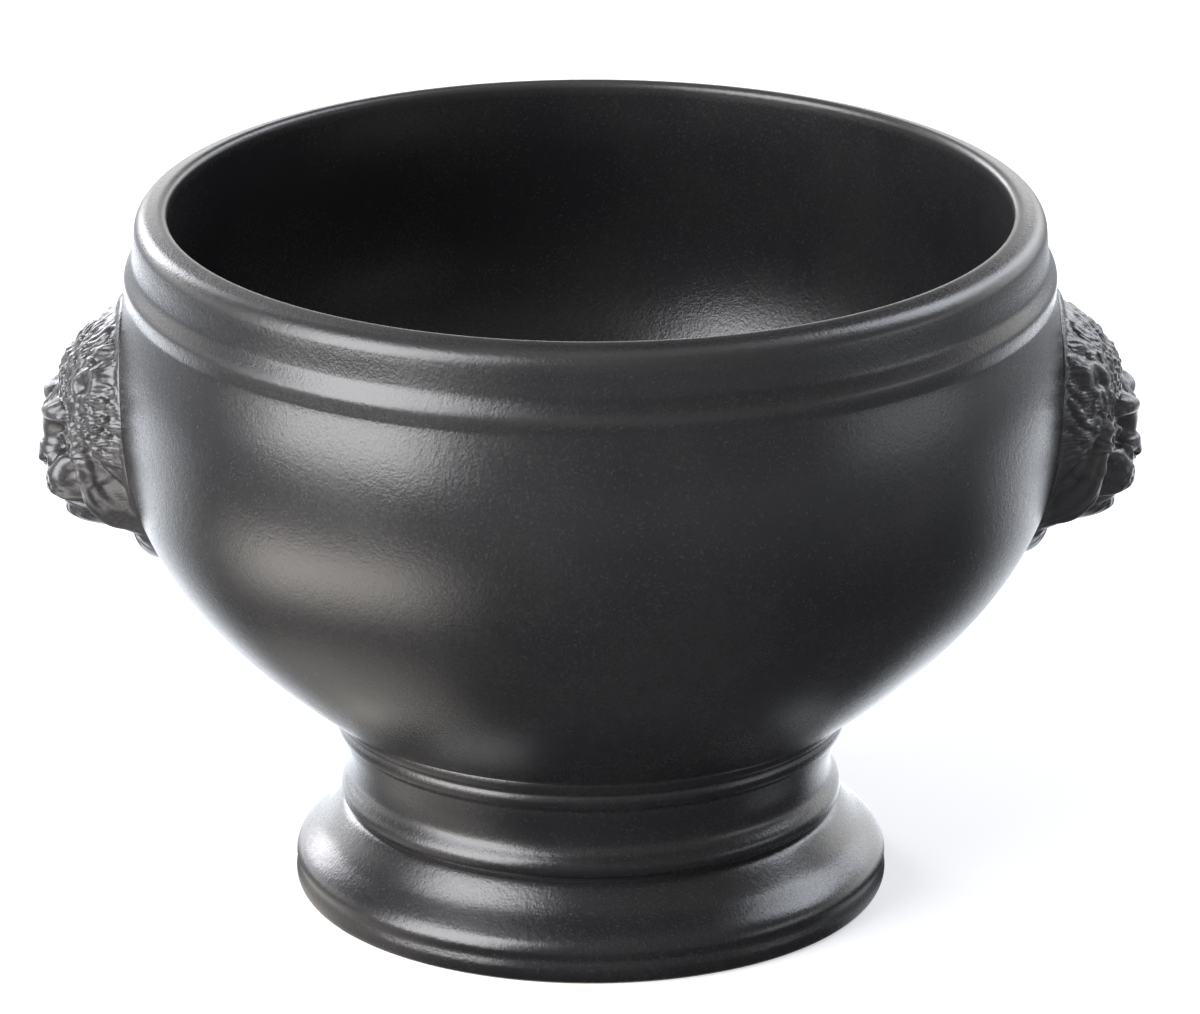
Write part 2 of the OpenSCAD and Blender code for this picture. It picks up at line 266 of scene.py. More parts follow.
# %% Foot hollow
hollow_r = neck_r - 5
stand_r = foot_r - edge_in - stand_w
hollow_line = arc(point(stand_r + 0.4, 0.4), 0.4, -90, -180, 4)
hollow_line += curve(point(stand_r - 0.8, 1.4), point(stand_r - 1.6, 4.95),
                     point(hollow_r, 6.6), point(hollow_r, 11), 16)
hollow_line.append(point(hollow_r, foot_h))
foot_line = glazed(foot_line, 0.34)
foot = on_the_wheel("crock_foot", foot_line + hollow_line, 240, closed=True)

# %% [markdown]
# ## The slip joint under the bowl
# Slip, which is clay thinned with water, glues the foot on. Some squeezes out
# and is wiped round with a finger. That leaves a thin ring with a hollow edge,
# which catches the glaze. It fills the joint from the foot's hollow outwards.

# %% Foot joint
joint_line = [point(hollow_r, foot_h), point(hollow_r, seat[1])]
joint_line += curve(point(top_r + 0.9, seat[1]), point(top_r + 0.15, seat[1]),
                    point(top_r - 0.35, foot_h + 0.1), point(top_r - 0.42, foot_h - 0.25), 8)
joint_line.append(point(top_r - 0.75, foot_h))
foot_joint = on_the_wheel("foot_joint_fillet", joint_line, 240, closed=True)

# %% [markdown]
# ## A helper for node materials
# Each finish is a small tree of nodes. The helper adds a node, sets its plain
# values and joins its inputs, so that a finish reads as a list of steps. Every
# pattern reads Object coordinates. The pieces sit at the origin, so those are
# true places on the pot, in metres: a noise scale of 1000 has 1 mm features.

# %% Node helper
def add(tree, kind, settings=None, **inputs):
    made = tree.nodes.new(kind)
    for name, value in (settings or {}).items():
        setattr(made, name, value)
    for name, value in inputs.items():
        socket = made.inputs[int(name[1:])] if name[0] == "_" else made.inputs[name.replace("_", " ")]
        if isinstance(value, bpy.types.NodeSocket):
            tree.links.new(value, socket)
        else:
            socket.default_value = value
    return made


def new_material(name):
    material = bpy.data.materials.new(name)
    material.use_nodes = True
    tree = material.node_tree
    tree.nodes.clear()
    return material, tree


def noise(tree, place, scale, detail=2.0, rough=0.5):
    return add(tree, "ShaderNodeTexNoise", Vector=place, Scale=scale, Detail=detail,
               Roughness=rough).outputs["Fac"]


def spread(tree, value, low, high, to_low, to_high):
    return add(tree, "ShaderNodeMapRange", {"clamp": True}, Value=value, _1=low, _2=high,
               _3=to_low, _4=to_high).outputs[0]


def tint(tree, share, colour_a, colour_b):
    mixed = add(tree, "ShaderNodeMix", {"data_type": "RGBA"}, _0=share, _6=colour_a, _7=colour_b)
    return mixed.outputs[2]


# %% [markdown]
# ## Satin black glaze
# A matt black glaze is iron and manganese in a glaze that grew fine crystals
# as it cooled. So it is soft to the light, a little cloudy, and covered in a
# fine grain with a few pinholes. The base colour is nearly black. What we see
# is mostly the broad, dim reflection, so the grain goes into the bump and into
# the roughness. Where glaze runs thin over an edge it goes browner and drier,
# and where it pools it is deeper: an attribute called `relief` says where.

# %% Glaze
def satin_black(name, grain, relief_tint, grey, dryness):
    material, tree = new_material(name)
    place = add(tree, "ShaderNodeTexCoord").outputs["Object"]
    cloud = noise(tree, place, 55.0, 4.0)
    peel = noise(tree, place, 900.0, 2.0)
    crystals = noise(tree, place, 2600.0, 3.0, 0.6)
    pin = add(tree, "ShaderNodeTexVoronoi", Vector=place, Scale=520.0).outputs["Distance"]
    pinhole = spread(tree, pin, 0.05, 0.16, 0.0, 1.0)
    relief = add(tree, "ShaderNodeAttribute", {"attribute_name": "relief"}).outputs["Fac"]
    thin = spread(tree, relief, 0.1, 0.9, 0.0, relief_tint)
    pooled = spread(tree, relief, -0.9, -0.1, 1.0, 0.0)

    ground = tint(tree, spread(tree, cloud, 0.3, 0.7, 0.0, 1.0),
                  (0.0080 * grey, 0.0080 * grey, 0.0090 * grey, 1),
                  (0.0125 * grey, 0.0120 * grey, 0.0125 * grey, 1))
    speckled = tint(tree, spread(tree, crystals, 0.56, 0.74, 0.0, 0.9), ground,
                    (0.025 * grey, 0.0245 * grey, 0.025 * grey, 1))
    worn = tint(tree, thin, speckled, (0.030 * grey, 0.028 * grey, 0.027 * grey, 1))
    colour = tint(tree, spread(tree, pooled, 0.0, 1.0, 0.0, 0.5), worn, (0.004, 0.004, 0.005, 1))

    cloudy = spread(tree, cloud, 0.3, 0.7, dryness - 0.03, dryness + 0.03)
    grainy = add(tree, "ShaderNodeMath", {"operation": "MULTIPLY_ADD"}, _0=crystals, _1=0.15,
                 _2=cloudy).outputs[0]
    dry = add(tree, "ShaderNodeMath", {"operation": "MULTIPLY_ADD"}, _0=thin, _1=0.15,
              _2=grainy).outputs[0]

    skin = add(tree, "ShaderNodeBump", Strength=0.5, Distance=0.00005, Height=peel)
    fine = add(tree, "ShaderNodeBump", Strength=grain, Distance=0.00007, Height=crystals,
               Normal=skin.outputs[0])
    pitted = add(tree, "ShaderNodeBump", Strength=0.25, Distance=0.00003, Height=pinhole,
                 Normal=fine.outputs[0])
    shader = add(tree, "ShaderNodeBsdfPrincipled", Base_Color=colour, Roughness=dry,
                 Normal=pitted.outputs[0], IOR=1.6)
    add(tree, "ShaderNodeOutputMaterial", Surface=shader.outputs[0])
    return material


bowl_glaze = satin_black("bowl satin black", grain=0.6, relief_tint=0.5, grey=1.15, dryness=0.185)
foot_glaze = satin_black("foot satin black", grain=0.5, relief_tint=0.5, grey=1.2, dryness=0.18)
# The heads' glaze is about twice as light as the bowl's and the foot's. Part of this is the thinner, greyer
# glaze over the moulding. The rest is painted light that brightens the heads' sides, which the lamps leave
# dark.
lion_glaze = satin_black("lion satin black", grain=0.4, relief_tint=0.6, grey=2.4, dryness=0.21)

# %% [markdown]
# ## Bare clay and fired slip
# The ring that the foot stands on is wiped clean before the firing, or the pot
# would stick to the shelf. It shows the clay: warm grey-brown, dry and sandy.
# The slip in the joints is the same clay, ground finer and a shade darker.

# %% Clay
def fired_clay(name, light, dark, sand_scale, dryness):
    material, tree = new_material(name)
    place = add(tree, "ShaderNodeTexCoord").outputs["Object"]
    cloud = noise(tree, place, 140.0, 4.0)
    sand = noise(tree, place, sand_scale, 3.0, 0.7)
    grit = add(tree, "ShaderNodeTexVoronoi", Vector=place, Scale=sand_scale * 0.6).outputs["Distance"]
    body = tint(tree, spread(tree, cloud, 0.35, 0.65, 0.0, 1.0), dark, light)
    colour = tint(tree, spread(tree, grit, 0.08, 0.2, 0.5, 0.0), body, (0.05, 0.04, 0.035, 1))
    rubbed = spread(tree, sand, 0.3, 0.7, dryness - 0.08, dryness + 0.06)
    rough = add(tree, "ShaderNodeBump", Strength=0.7, Distance=0.00008, Height=sand)
    shader = add(tree, "ShaderNodeBsdfPrincipled", Base_Color=colour, Roughness=rubbed,
                 Normal=rough.outputs[0], Specular_IOR_Level=0.3)
    add(tree, "ShaderNodeOutputMaterial", Surface=shader.outputs[0])
    return material


bare_clay = fired_clay("bare clay", (0.20, 0.15, 0.115, 1), (0.13, 0.10, 0.08, 1), 1600.0, 0.86)
slip_clay = fired_clay("fired slip", (0.15, 0.125, 0.105, 1), (0.10, 0.085, 0.075, 1), 2600.0, 0.8)

# %% [markdown]
# The glaze runs thin over the rim, the bead and the rings. The profile tells
# us where: a point that stands out from the line between its neighbours a
# little way off is on an edge, and one that lies in is in a groove.

# %% Relief of turned pieces
relief_step = 0.15


def turned_relief(piece, line, reach, scale):
    stations = np.array(line)
    run = np.concatenate([[0], np.cumsum(np.hypot(*np.diff(stations, axis=0).T))])
    even = np.arange(0, run[-1], relief_step)
    path = np.stack([np.interp(even, run, stations[:, i]) for i in (0, 1)], axis=1)
    step = int(reach / relief_step)
    before = path[np.clip(np.arange(len(path)) - step, 0, None)]
    after = path[np.clip(np.arange(len(path)) + step, None, len(path) - 1)]
    along = after - before
    length = np.maximum(np.hypot(along[:, 0], along[:, 1]), 0.01)
    out = path - (before + after) / 2
    bulge = (out[:, 0] * along[:, 1] - out[:, 1] * along[:, 0]) / length
    bulge[:step] = 0
    bulge[-step:] = 0
    places = np.empty(len(piece.data.vertices) * 3)
    piece.data.vertices.foreach_get("co", places)
    places = places.reshape(-1, 3) / MM
    here = np.stack([np.hypot(places[:, 0], places[:, 1]), places[:, 2]], axis=1)
    relief = np.zeros(len(here))
    keys, back = np.unique(here.round(2), axis=0, return_inverse=True)
    for index, key in enumerate(keys):
        nearest = np.argmin(((path - key) ** 2).sum(axis=1))
        relief[back.ravel() == index] = np.clip(bulge[nearest] * scale, -1, 1)
    attribute = piece.data.attributes.new("relief", "FLOAT", "POINT")
    attribute.data.foreach_set("value", relief.astype(np.float32))
    print(piece.name, "relief from", round(relief.min(), 2), "to", round(relief.max(), 2))


turned_relief(bowl, bowl_line, 1.2, 2.2)
turned_relief(foot, foot_line + hollow_line, 1.0, 2.2)

# %% [markdown]
# ## Finishes on the turned pieces
# The foot has two finishes: bare clay on the flat ring that it stands on, and
# glaze on everything else. Faces near the table get the second material.

# %% Turned finishes
bowl.data.materials.append(bowl_glaze)
foot.data.materials.append(foot_glaze)
foot.data.materials.append(bare_clay)
foot_joint.data.materials.append(foot_glaze)
bare = 0
for face in foot.data.polygons:
    if max(foot.data.vertices[i].co.z for i in face.vertices) < 0.25 * MM:
        face.material_index = 1
        bare += 1
print("bare faces on the foot:", bare)

# %% Turned pieces into the frame
for piece, node, slot in ((bowl, "bowl", "bowl_glaze"), (foot, "pedestal_foot", "foot_glaze"),
                          (foot_joint, "foot_joint_slip", "fired_slip")):
    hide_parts(node)
    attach(piece, "root")

# %% [markdown]
# ## The lion heads
# A lion's head is pressed from a mould and luted to each side as a handle. It
# is all one skin of clay, so we make it as one sheet: a fine flat grid, bent to
# the head's outline on the wall and pushed outwards. A hand-built cage would
# need hundreds of faces placed one by one. A sheet of 70,000 faces lets each
# feature be said in words and sizes instead, like strokes of a modelling tool.
# The first step is the outline: round above, and drawn in at the jaw.

# %% Head outline
head_half_w = 14.5
head_z = 68.4
head_rise = 17.2
head_drop = 21.0
jaw_taper = 0.34
face_z = 63.5
face_half = (8.6, 10.5)
ear_at = (9.2, 75.9)
wall_line = np.array(outside[1:])


def head_place(u, v):
    across = u * np.sqrt(1 - v**2 / 2)
    up = v * np.sqrt(1 - u**2 / 2)
    share = np.hypot(across, up)
    jaw = np.clip(-up / np.maximum(share, 1e-6), 0, 1) ** 2
    y = head_half_w * (1 - jaw_taper * jaw) * across
    z = head_z + np.where(up > 0, head_rise, head_drop) * up
    return y, z, share


def off_centre(side, z):
    return np.hypot(side / face_half[0], (z - face_z) / face_half[1])


def wall_at(y, z, lift):
    radius = np.interp(z, wall_line[:, 1], wall_line[:, 0]) + lift
    return np.sqrt(radius**2 - y**2)


# %% [markdown]
# ## Masses first
# A carver starts with big lumps and no features: mane, forehead, muzzle, chin.
# Each lump here is an ellipsoid that faces outwards. `blended` takes the
# outermost of them at each place and melts the lumps together where they meet.

# %% Head masses
def lump(y, z, centre, half):
    inside_it = 1 - ((y - centre[1]) / half[1]) ** 2 - ((z - centre[2]) / half[2]) ** 2
    dome = half[0] * np.sqrt(np.clip(inside_it, 0, None))
    return centre[0] + np.where(inside_it > 0, dome, 7 * inside_it)


def blended(heights, softness):
    top = np.max(heights, axis=0)
    return top + softness * np.log(sum(np.exp((h - top) / softness) for h in heights))


def head_masses(y, z):
    side = np.abs(y)
    mane = lump(y, z, (59.8, 0, 69.9), (13.9, 15.1, 14.9))
    forehead = lump(y, z, (66.3, 0, 74.0), (6.6, 7.5, 5.6))
    bridge = lump(y, z, (69.9, 0, 67.35), (5.9, 3.5, 6.8))
    nose = lump(y, z, (71.5, 0, 62.6), (4.9, 4.0, 2.9))
    muzzle = lump(side, z, (69.7, 3.5, 61.1), (5.6, 4.5, 3.9))
    jaw = lump(side, z, (64.6, 5.4, 60.2), (5.4, 4.0, 6.0))
    chin = lump(y, z, (67.0, 0, 56.7), (6.1, 4.8, 3.8))
    brow = lump(side, z, (70.6, 4.2, 70.5), (4.3, 3.6, 2.1))
    cheek = lump(side, z, (64.6, 8.7, 64.0), (5.4, 3.1, 8.6))
    ear = lump(side, z, (65.2, *ear_at), (3.7, 2.3, 2.4))
    neck = lump(y, z, (57.2, 0, 54.8), (6.3, 12.0, 10.5))
    return blended([mane, forehead, bridge, nose, muzzle, jaw, chin, brow, cheek, ear, neck], 0.5)


# %% [markdown]
# ## Strokes of the modelling tool
# Two strokes make all the features. `dab` is a soft round touch, and `stroke`
# is a line drawn through a few places. Both give 1 in the middle and fade to 0
# at their edge. A feature is a stroke times a height: plus is clay added on,
# and minus is clay pressed in. The face is drawn on one side only, because
# `side` is the distance from the middle and both halves read the same strokes.

# %% Tools
def dab(side, z, where, reach, tilt=0.0):
    turn = math.radians(tilt)
    dy, dz = side - where[0], z - where[1]
    along = (dy * math.cos(turn) + dz * math.sin(turn)) / reach[0]
    across = (dz * math.cos(turn) - dy * math.sin(turn)) / reach[1]
    return np.exp(-(along**2) - across**2)


def stroke(side, z, places, width):
    nearest = np.full(side.shape, np.inf)
    for (y0, z0), (y1, z1) in zip(places, places[1:]):
        dy, dz = y1 - y0, z1 - z0
        part = np.clip(((side - y0) * dy + (z - z0) * dz) / (dy**2 + dz**2), 0, 1)
        nearest = np.minimum(nearest, (side - y0 - part * dy) ** 2 + (z - z0 - part * dz) ** 2)
    return np.exp(-nearest / width**2)


def ease(value, low, high):
    part = np.clip((value - low) / (high - low), 0, 1)
    return part * part * (3 - 2 * part)


# %% [markdown]
# ## The face
# Heavy brows slope up and back over deep-set eyes. The nose is broad and ends
# in a leather with two nostrils. Under it, a groove parts the two whisker pads,
# and the lips run out and down from there to the corners of the mouth.

# %% Face
eye = (5.3, 66.6)


def face_strokes(side, z):
    ball = np.clip(1 - ((side - eye[0]) / 1.75) ** 2 - ((z - eye[1]) / 1.3) ** 2, 0, None)
    upper_lid = stroke(side, z, [(3.3, 65.7), (4.3, 67.4), (5.6, 67.9), (7.3, 67.1)], 0.55)
    lower_lid = stroke(side, z, [(3.3, 65.7), (4.7, 65.1), (6.2, 65.5), (7.3, 66.9)], 0.5)
    eyes = (-1.7 * dab(side, z, (5.2, 66.7), (2.8, 2.0), 12) + 1.35 * np.sqrt(ball)
            + 0.85 * upper_lid + 0.6 * lower_lid
            - 0.35 * dab(side, z, eye, (0.5, 0.5))
            - 0.5 * stroke(side, z, [(3.1, 65.5), (2.9, 64.0)], 0.5))
    brows = (0.8 * stroke(side, z, [(1.8, 69.5), (4.0, 70.4), (6.6, 71.5), (8.8, 72.2)], 1.2)
             - 0.75 * stroke(side, z, [(0, 69.6), (0, 74.5)], 0.7)
             - 0.45 * stroke(side, z, [(2.0, 71.6), (2.6, 74.6)], 0.5)
             - 0.45 * stroke(side, z, [(4.8, 73.0), (7.5, 74.0)], 0.6))
    leather = (0.55 * stroke(side, z, [(0, 64.4), (2.2, 64.5), (3.4, 63.9)], 0.7)
               + 0.5 * dab(side, z, (3.2, 63.0), (0.9, 0.8))
               - 1.1 * stroke(side, z, [(1.2, 62.0), (2.0, 62.8), (3.0, 62.8)], 0.42)
               - 0.5 * stroke(side, z, [(3.9, 65.0), (4.5, 63.4), (3.8, 61.9)], 0.5)
               - 0.5 * stroke(side, z, [(0, 61.3), (1.6, 61.3), (3.2, 61.8)], 0.38))
    lips = (-0.5 * stroke(side, z, [(0, 61.6), (0, 59.2)], 0.45)
            - 0.75 * stroke(side, z, [(0, 59.0), (1.8, 58.2), (4.6, 58.0), (6.8, 57.0), (7.5, 55.6)], 0.5)
            + 0.4 * stroke(side, z, [(0, 57.5), (2.6, 57.0), (4.4, 56.6)], 0.55)
            + 0.4 * stroke(side, z, [(1.2, 59.4), (4.4, 59.3), (7.0, 58.3)], 0.75)
            - 0.4 * stroke(side, z, [(0, 56.0), (3.2, 55.7)], 0.5))
    pits = sum(dab(side, z, (2.6 + 1.2 * n + 0.3 * row, 61.6 - 0.95 * row - 0.15 * n * n), (0.27, 0.27))
               for row in range(3) for n in range(4))
    cheeks = (0.7 * stroke(side, z, [(3.9, 64.0), (6.6, 64.4), (8.4, 65.8)], 0.9)
              - 0.85 * stroke(side, z, [(7.4, 63.0), (8.0, 60.4), (8.0, 57.4)], 0.9)
              + 0.95 * stroke(side, z, [(8.8, 68.6), (9.7, 65.0), (9.8, 60.0), (9.0, 55.6), (7.2, 52.6)], 1.0)
              + 0.16 * np.cos(7.5 * (side + 0.05 * (z - 60.0) ** 2 / 4))
              * ease(side, 8.0, 9.2) * ease(-z, -67.0, -64.0)
              - 0.7 * stroke(side, z, [(11.0, 67.0), (11.5, 63.0), (11.0, 58.0), (9.2, 53.6)], 0.7))
    chin = (0.07 * np.cos(side * 6.2) * dab(side, z, (0, 54.6), (4.2, 1.3))
            + 0.25 * dab(side, z, (0, 54.8), (2.6, 1.0)))
    return eyes + brows + leather + lips - 0.22 * pits + cheeks + chin


# %% [markdown]
# Each ear is a small cup: a raised round edge with a hollow in it, half buried
# in the mane.

# %% Ears
def ear_strokes(side, z):
    away = np.hypot((side - ear_at[0]) / 1.7, (z - ear_at[1]) / 1.9)
    edge = np.exp(-(((away - 0.95) / 0.36) ** 2)) * (1 - 0.8 * dab(side, z, (8.0, 74.0), (1.2, 1.1)))
    return 0.45 * edge - 0.6 * dab(side, z, (9.0, 75.5), (0.9, 1.0), 20)


# %% [markdown]
# ## The mane
# The locks lie like roof tiles: each rises from under the one before and ends
# in a tip. For this we need two measures at every place. One counts the locks
# side by side, and the other says how far out along the lock we are. Above the
# eyes the locks spread from the face like rays and droop a little. By the jaw
# they turn and run down in long bands. Blending the two pairs of measures makes
# the locks bend round the cheek. Fine strands ride on each lock.

# %% Mane
rays = 42
droop = 3.0
lock_tips = (2.22, 2.06, 1.90, 1.75, 1.60, 1.46, 1.33, 1.21, 1.11)
root_length = 0.29


def mane_strokes(side, z):
    out = off_centre(side, z)
    fall = droop * np.clip(out - 1, 0, None) ** 2
    ray = rays * np.arctan2(side, z - face_z + fall) / math.tau
    outline = head_half_w * (1 - jaw_taper * ease(-(z - head_z), 0, 1.3 * head_drop))
    band = 0.21 * rays + 9.0 * (1 - np.clip(side / outline, 0, 1))
    turned = ease(-z, -68.5, -61.0)
    count = ray * (1 - turned) + band * turned
    count += 0.10 * np.sin(1.9 * side + 0.7) + 0.08 * np.sin(1.3 * z)
    along = out * (1 - turned) + (1.25 + (66.0 - z) * 0.034) * turned

    relief = np.zeros(side.shape)
    for tier, tip in enumerate(lock_tips):
        number = count + 0.5 * (tier % 2)
        lock = np.floor(number)
        middle = 2 * (number - lock) - 1
        ragged = 0.06 * np.sin(5.1 * lock + 2.3 * tier)
        reach = tip + ragged - 0.09 * middle**2
        root = np.clip((along - tip + root_length) / root_length, 0, 1)
        body = (0.25 + 0.75 * root) * (1 - 0.75 * np.abs(middle) ** 2.2)
        ended = ease(-(along - reach), -0.045, 0.035)
        lean = 1 if tier % 2 else -1
        strands = 0.16 * (1 - 0.85 * turned) * np.cos(math.tau * 2.5 * middle + 2.2 * along * lean)
        relief = np.maximum(relief, (body + strands * (0.3 + 0.7 * root)) * ended)
    hairy = ease(out, 0.93, 1.12) * (1 - 0.5 * ease(z, 80.5, 85.0)) * (1 - 0.6 * ease(-z, -53.5, -49.5))
    curls = 0.12 * np.sin(11.0 * along * math.pi + 2.0 * count) * np.cos(math.tau * count)
    calm = 1 - 0.3 * ease(-z, -68.0, -63.0)
    near_wall = 1 + 0.7 * ease(side, 8.5, 12.0) * (1 - turned)
    return (0.66 * relief - 0.31 + curls) * hairy * calm * near_wall


# %% [markdown]
# ## Putting a head together
# The grid is bent to the outline and pushed out to the masses. Then every
# stroke moves its vertices along their own normals, so that a groove on a steep
# side is cut into the side. A little smoothing is the glaze again: it softens
# ridges and fills creases. What smoothing takes away is kept as `relief`, high
# on the ridges and low in the grooves, for the finish to read.

# %% Head front
def places_of(bm):
    return np.array([v.co for v in bm.verts])


def move_to(bm, places):
    for vert, place in zip(bm.verts, places):
        vert.co = place


bm = bmesh.new()
bmesh.ops.create_grid(bm, x_segments=250, y_segments=270, size=1)
u, v, _ = places_of(bm).T
y, z, share = head_place(u, v)
edge_lift = 0.02
wall = wall_at(y, z, edge_lift)
edge_step = 0.5 * ease(z, 52.0, 64.0)
rise = blended([edge_step, head_masses(y, z) - wall], 0.35) * np.sqrt(1 - np.clip(share, 0, 1) ** 18)
move_to(bm, np.stack([wall + rise, y, z], axis=1) * MM)
bmesh.ops.recalc_face_normals(bm, faces=bm.faces)
normals = np.array([v.normal for v in bm.verts])
normals *= np.sign(normals[:, :1].mean())
side = np.abs(y)
face = 1 - ease(off_centre(side, z), 0.98, 1.22)
cheek_lock = 1 - ease(side, 11.8, 13.2)
strokes = face_strokes(side, z) * np.maximum(face, cheek_lock * (z < 70)) + ear_strokes(side, z)
strokes += mane_strokes(side, z) * (1 - np.clip(1.3 * dab(side, z, ear_at, (1.9, 2.1)), 0, 1))
strokes *= 1 - np.clip(share, 0, 1) ** 16
move_to(bm, places_of(bm) + normals * strokes[:, None] * MM)
carved = places_of(bm)
soft_verts = [v for v in bm.verts if not v.is_boundary]
for _ in range(3):
    bmesh.ops.smooth_vert(bm, verts=soft_verts, factor=0.5, use_axis_x=True, use_axis_y=True, use_axis_z=True)
glazed_places = places_of(bm)
print("head front: vertices", len(carved), "reach, mm:", round(glazed_places[:, 0].max() / MM, 2))

# %% [markdown]
# The back is hollowed to the wall. The border edges are extruded inwards in
# rings that follow the wall. The first ring lies on the wall and the others
# stand half a millimetre off it, which leaves room for the slip. The last ring
# is merged to one point.

# %% Head back
ridge_gain = 9
stroke_gain = 0.35
relief = ((carved - glazed_places) * normals).sum(axis=1) / MM * ridge_gain + strokes * stroke_gain
layer = bm.verts.layers.float.new("relief")
for vert, value in zip(bm.verts, relief):
    vert[layer] = float(np.clip(value, -1, 1))
ring = [e for e in bm.edges if e.is_boundary]
back_z = 68.0
slip_room = 0.5
size_now = 1.0
for size_next, lift in ((0.985, edge_lift), (0.95, slip_room), (0.6, slip_room), (0.2, slip_room)):
    made = bmesh.ops.extrude_edge_only(bm, edges=ring)["geom"]
    ring = [g for g in made if isinstance(g, bmesh.types.BMEdge) and g.is_boundary]
    verts = {v for e in ring for v in e.verts}
    for vert in verts:
        y = vert.co.y / MM * size_next / size_now
        z = back_z + (vert.co.z / MM - back_z) * size_next / size_now
        vert.co = Vector((float(wall_at(y, z, lift)), y, z)) * MM
        vert[layer] = 0.0
    size_now = size_next
middle = Vector((float(wall_at(0.0, back_z, slip_room)), 0, back_z)) * MM
bmesh.ops.pointmerge(bm, verts=list(verts), merge_co=middle)
bmesh.ops.recalc_face_normals(bm, faces=bm.faces)
lion_right = finished("lion_head_right", bm)

# %% [markdown]
# The left head comes from the same mould. It is the right one turned half a
# turn about the pot's axis, turned in its mesh, so that both pieces stay at the
# origin and their finish reads true places.

# %% Second head
lion_left = bpy.data.objects.new("lion_head_left", lion_right.data.copy())
lion_left.data.transform(Matrix.Rotation(math.pi, 4, "Z"))
bpy.context.collection.objects.link(lion_left)
for piece, node in ((lion_right, "right_lion_head"), (lion_left, "left_lion_head")):
    piece.data.materials.append(lion_glaze)
    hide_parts(node)
    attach(piece, "root")

# %% [markdown]
# ## The slip behind the heads
# Two thin skins of slip hold the heads to the wall. The part's own solids have
# the right shape, so they stay, and their material slots get the finish of
# fired slip.

# %% Slip behind the heads
for node in ("right_head_joint_slip", "left_head_joint_slip"):
    for material_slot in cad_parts[node].material_slots:
        material_slot.material = slip_clay
        print(node, "is finished as", slip_clay.name)

# %% [markdown]
# ## The camera
# The photograph was taken from 1.2 m with a long lens, about 20 degrees above
# the table and a degree to one side. The camera goes at that distance from the
# point that it looks at, and turns to it. Its lens sets how large the pot is.

# %% Camera
look_down = math.radians(19.69)
step_aside = math.radians(1.0)
distance = 1.1984
aim_height = 0.0545
aim_aside = 0.0013
towards = Vector((-math.sin(step_aside) * math.cos(look_down),
                  -math.cos(step_aside) * math.cos(look_down), math.sin(look_down)))
aside = Vector((math.cos(step_aside), -math.sin(step_aside), 0))
aim = Vector((0, 0, aim_height)) + aside * aim_aside
camera = bpy.data.objects.new("camera", bpy.data.cameras.new("camera"))
camera.data.sensor_width = 36
camera.data.lens = 259.26
camera.location = aim + towards * distance
camera.rotation_euler = (-towards).to_track_quat("-Z", "Y").to_euler()
bpy.context.collection.objects.link(camera)
bpy.context.scene.camera = camera
print("camera at", [round(v, 3) for v in camera.location])

# %% [markdown]
# ## Floor and background
# The pot stands on a plain pale sheet, which takes its shadow. For the rays
# that come straight from the camera the sheet and the world are white, so no
# extra light has to fall on the pot. Off the glaze we see the same sheet with
# pools of light painted on it, which the lamps do not make: the sheet glows
# with them for glossy rays only. They are painted as a room would light it:
# very bright behind the pot and under the window on the left, less so on the
# right, and dim in front, where the room is dark. These painted pools are what
# draws the glows on a satin glaze, so they are laid out round the pot by their
# compass angle from the camera and their distance.
# Straight behind the pot is 180 degrees, from either side, and a pool whose
# limit lies past that has no soft edge there.

# %% Pools of light
def pool(tree, value, low, high, soft):
    rise = add(tree, "ShaderNodeMapRange", {"interpolation_type": "SMOOTHSTEP"}, Value=value,
               _1=low - soft, _2=low + soft, _3=0.0, _4=1.0).outputs[0]
    return add(tree, "ShaderNodeMapRange", {"interpolation_type": "SMOOTHSTEP"}, Value=value,
               _1=high - soft, _2=high + soft, _3=rise, _4=0.0).outputs[0]


def total(tree, *values, kind="ADD"):
    result = values[0]
    for value in values[1:]:
        result = add(tree, "ShaderNodeMath", {"operation": kind}, _0=result, _1=value).outputs[0]
    return result


def compass(tree, place):
    parts = add(tree, "ShaderNodeSeparateXYZ", Vector=place).outputs
    towards_camera = total(tree, parts[1], -1.0, kind="MULTIPLY")
    radians = total(tree, parts[0], towards_camera, kind="ARCTAN2")
    return total(tree, radians, 180 / math.pi, kind="MULTIPLY"), parts


def by_ray(tree, seen, shiny, other):
    rays = add(tree, "ShaderNodeLightPath").outputs
    direct = total(tree, rays["Is Camera Ray"], rays["Is Transmission Ray"], kind="MAXIMUM")
    plain = total(tree, 1.0, total(tree, direct, rays["Is Glossy Ray"], kind="MAXIMUM"), kind="SUBTRACT")
    return total(tree, total(tree, direct, seen, kind="MULTIPLY"),
                 total(tree, rays["Is Glossy Ray"], shiny, kind="MULTIPLY"),
                 total(tree, plain, other, kind="MULTIPLY"))


# %% Floor
paper, tree = new_material("pale paper")
place = add(tree, "ShaderNodeTexCoord").outputs["Object"]
turn, parts = compass(tree, place)
away = add(tree, "ShaderNodeVectorMath", {"operation": "LENGTH"}, _0=place).outputs["Value"]
near_ring = total(tree, 1.0, pool(tree, away, 0.155, 0.30, 0.03))
behind_left = total(tree, pool(tree, turn, -210.0, -114.0, 22.0),
                    spread(tree, away, 0.30, 0.44, 2.5, 0.6), near_ring, kind="MULTIPLY")
behind_right = total(tree, pool(tree, turn, 114.0, 210.0, 22.0),
                     spread(tree, away, 0.26, 0.36, 1.8, 0.3), near_ring, kind="MULTIPLY")
window_side = pool(tree, turn, -80.0, -34.0, 13.0)
window_near = total(tree, window_side, pool(tree, away, 0.120, 0.19, 0.025), 4.4, kind="MULTIPLY")
window_mid = total(tree, window_side, 0.2, kind="MULTIPLY")
beside_foot = total(tree, pool(tree, away, 0.040, 0.080, 0.012),
                    total(tree, total(tree, pool(tree, turn, -96.0, -40.0, 12.0), 0.5, kind="MULTIPLY"),
                          pool(tree, turn, 104.0, 170.0, 12.0)), 1.1, kind="MULTIPLY")
